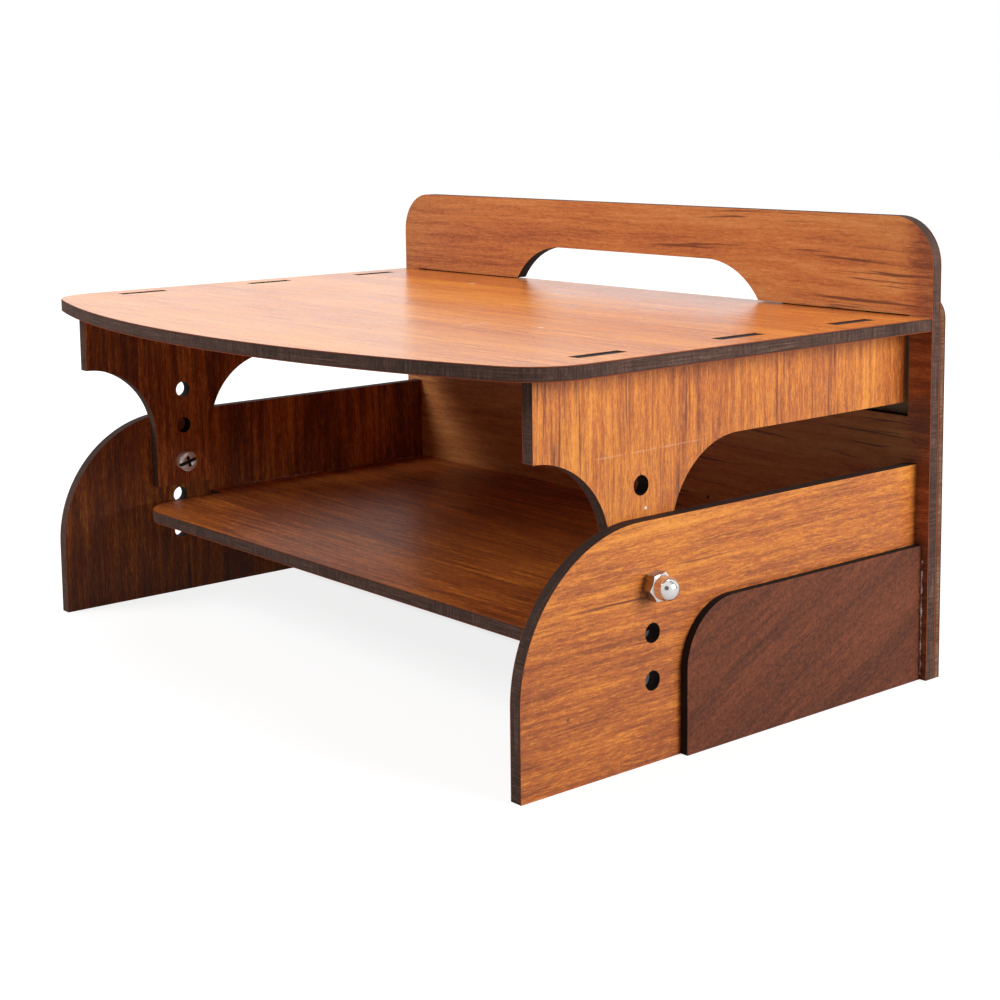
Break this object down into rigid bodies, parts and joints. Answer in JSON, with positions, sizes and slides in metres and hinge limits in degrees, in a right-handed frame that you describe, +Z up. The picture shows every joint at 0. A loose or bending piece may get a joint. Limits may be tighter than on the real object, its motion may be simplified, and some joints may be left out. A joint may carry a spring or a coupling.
{
  "type": "monitor stand",
  "caption": "Height-adjustable monitor stand of slotted laminated board: bow-fronted top on T-shaped legs bolted inside a base with a shelf and a back panel with a carrying handle.",
  "frame": {"origin": "on the desk, at the bottom centre of the whole stand's box", "axes": "+X to the stand's right as seen from the front, +Y to its back, +Z up"},
  "size_m": [0.366, 0.2536, 0.194],
  "materials": {
    "tabletop_laminate": "satin",
    "panel_laminate": "satin",
    "shelf_laminate": "satin",
    "dark_laminate": "satin",
    "screw_steel": "satin",
    "nut_chrome": "polished"
  },
  "bodies": {
    "base": {"left_side_panel": "panel_laminate", "right_side_panel": "panel_laminate", "left_outer_panel": "dark_laminate", "right_outer_panel": "dark_laminate", "shelf": "shelf_laminate", "back_panel": "panel_laminate", "rear_cover": "dark_laminate"},
    "top_unit": {"tabletop": "tabletop_laminate", "left_leg": "panel_laminate", "right_leg": "panel_laminate", "left_clamp_screw": "screw_steel", "right_clamp_screw": "screw_steel", "left_acorn_nut": "nut_chrome", "right_acorn_nut": "nut_chrome"}
  },
  "joints": [
    {"name": "height", "type": "slide", "parent": "base", "child": "top_unit", "axis": [0, 0, 1], "range_m": [-0.036, 0], "deforming": ["left_clamp_screw", "right_clamp_screw"]}
  ]
}
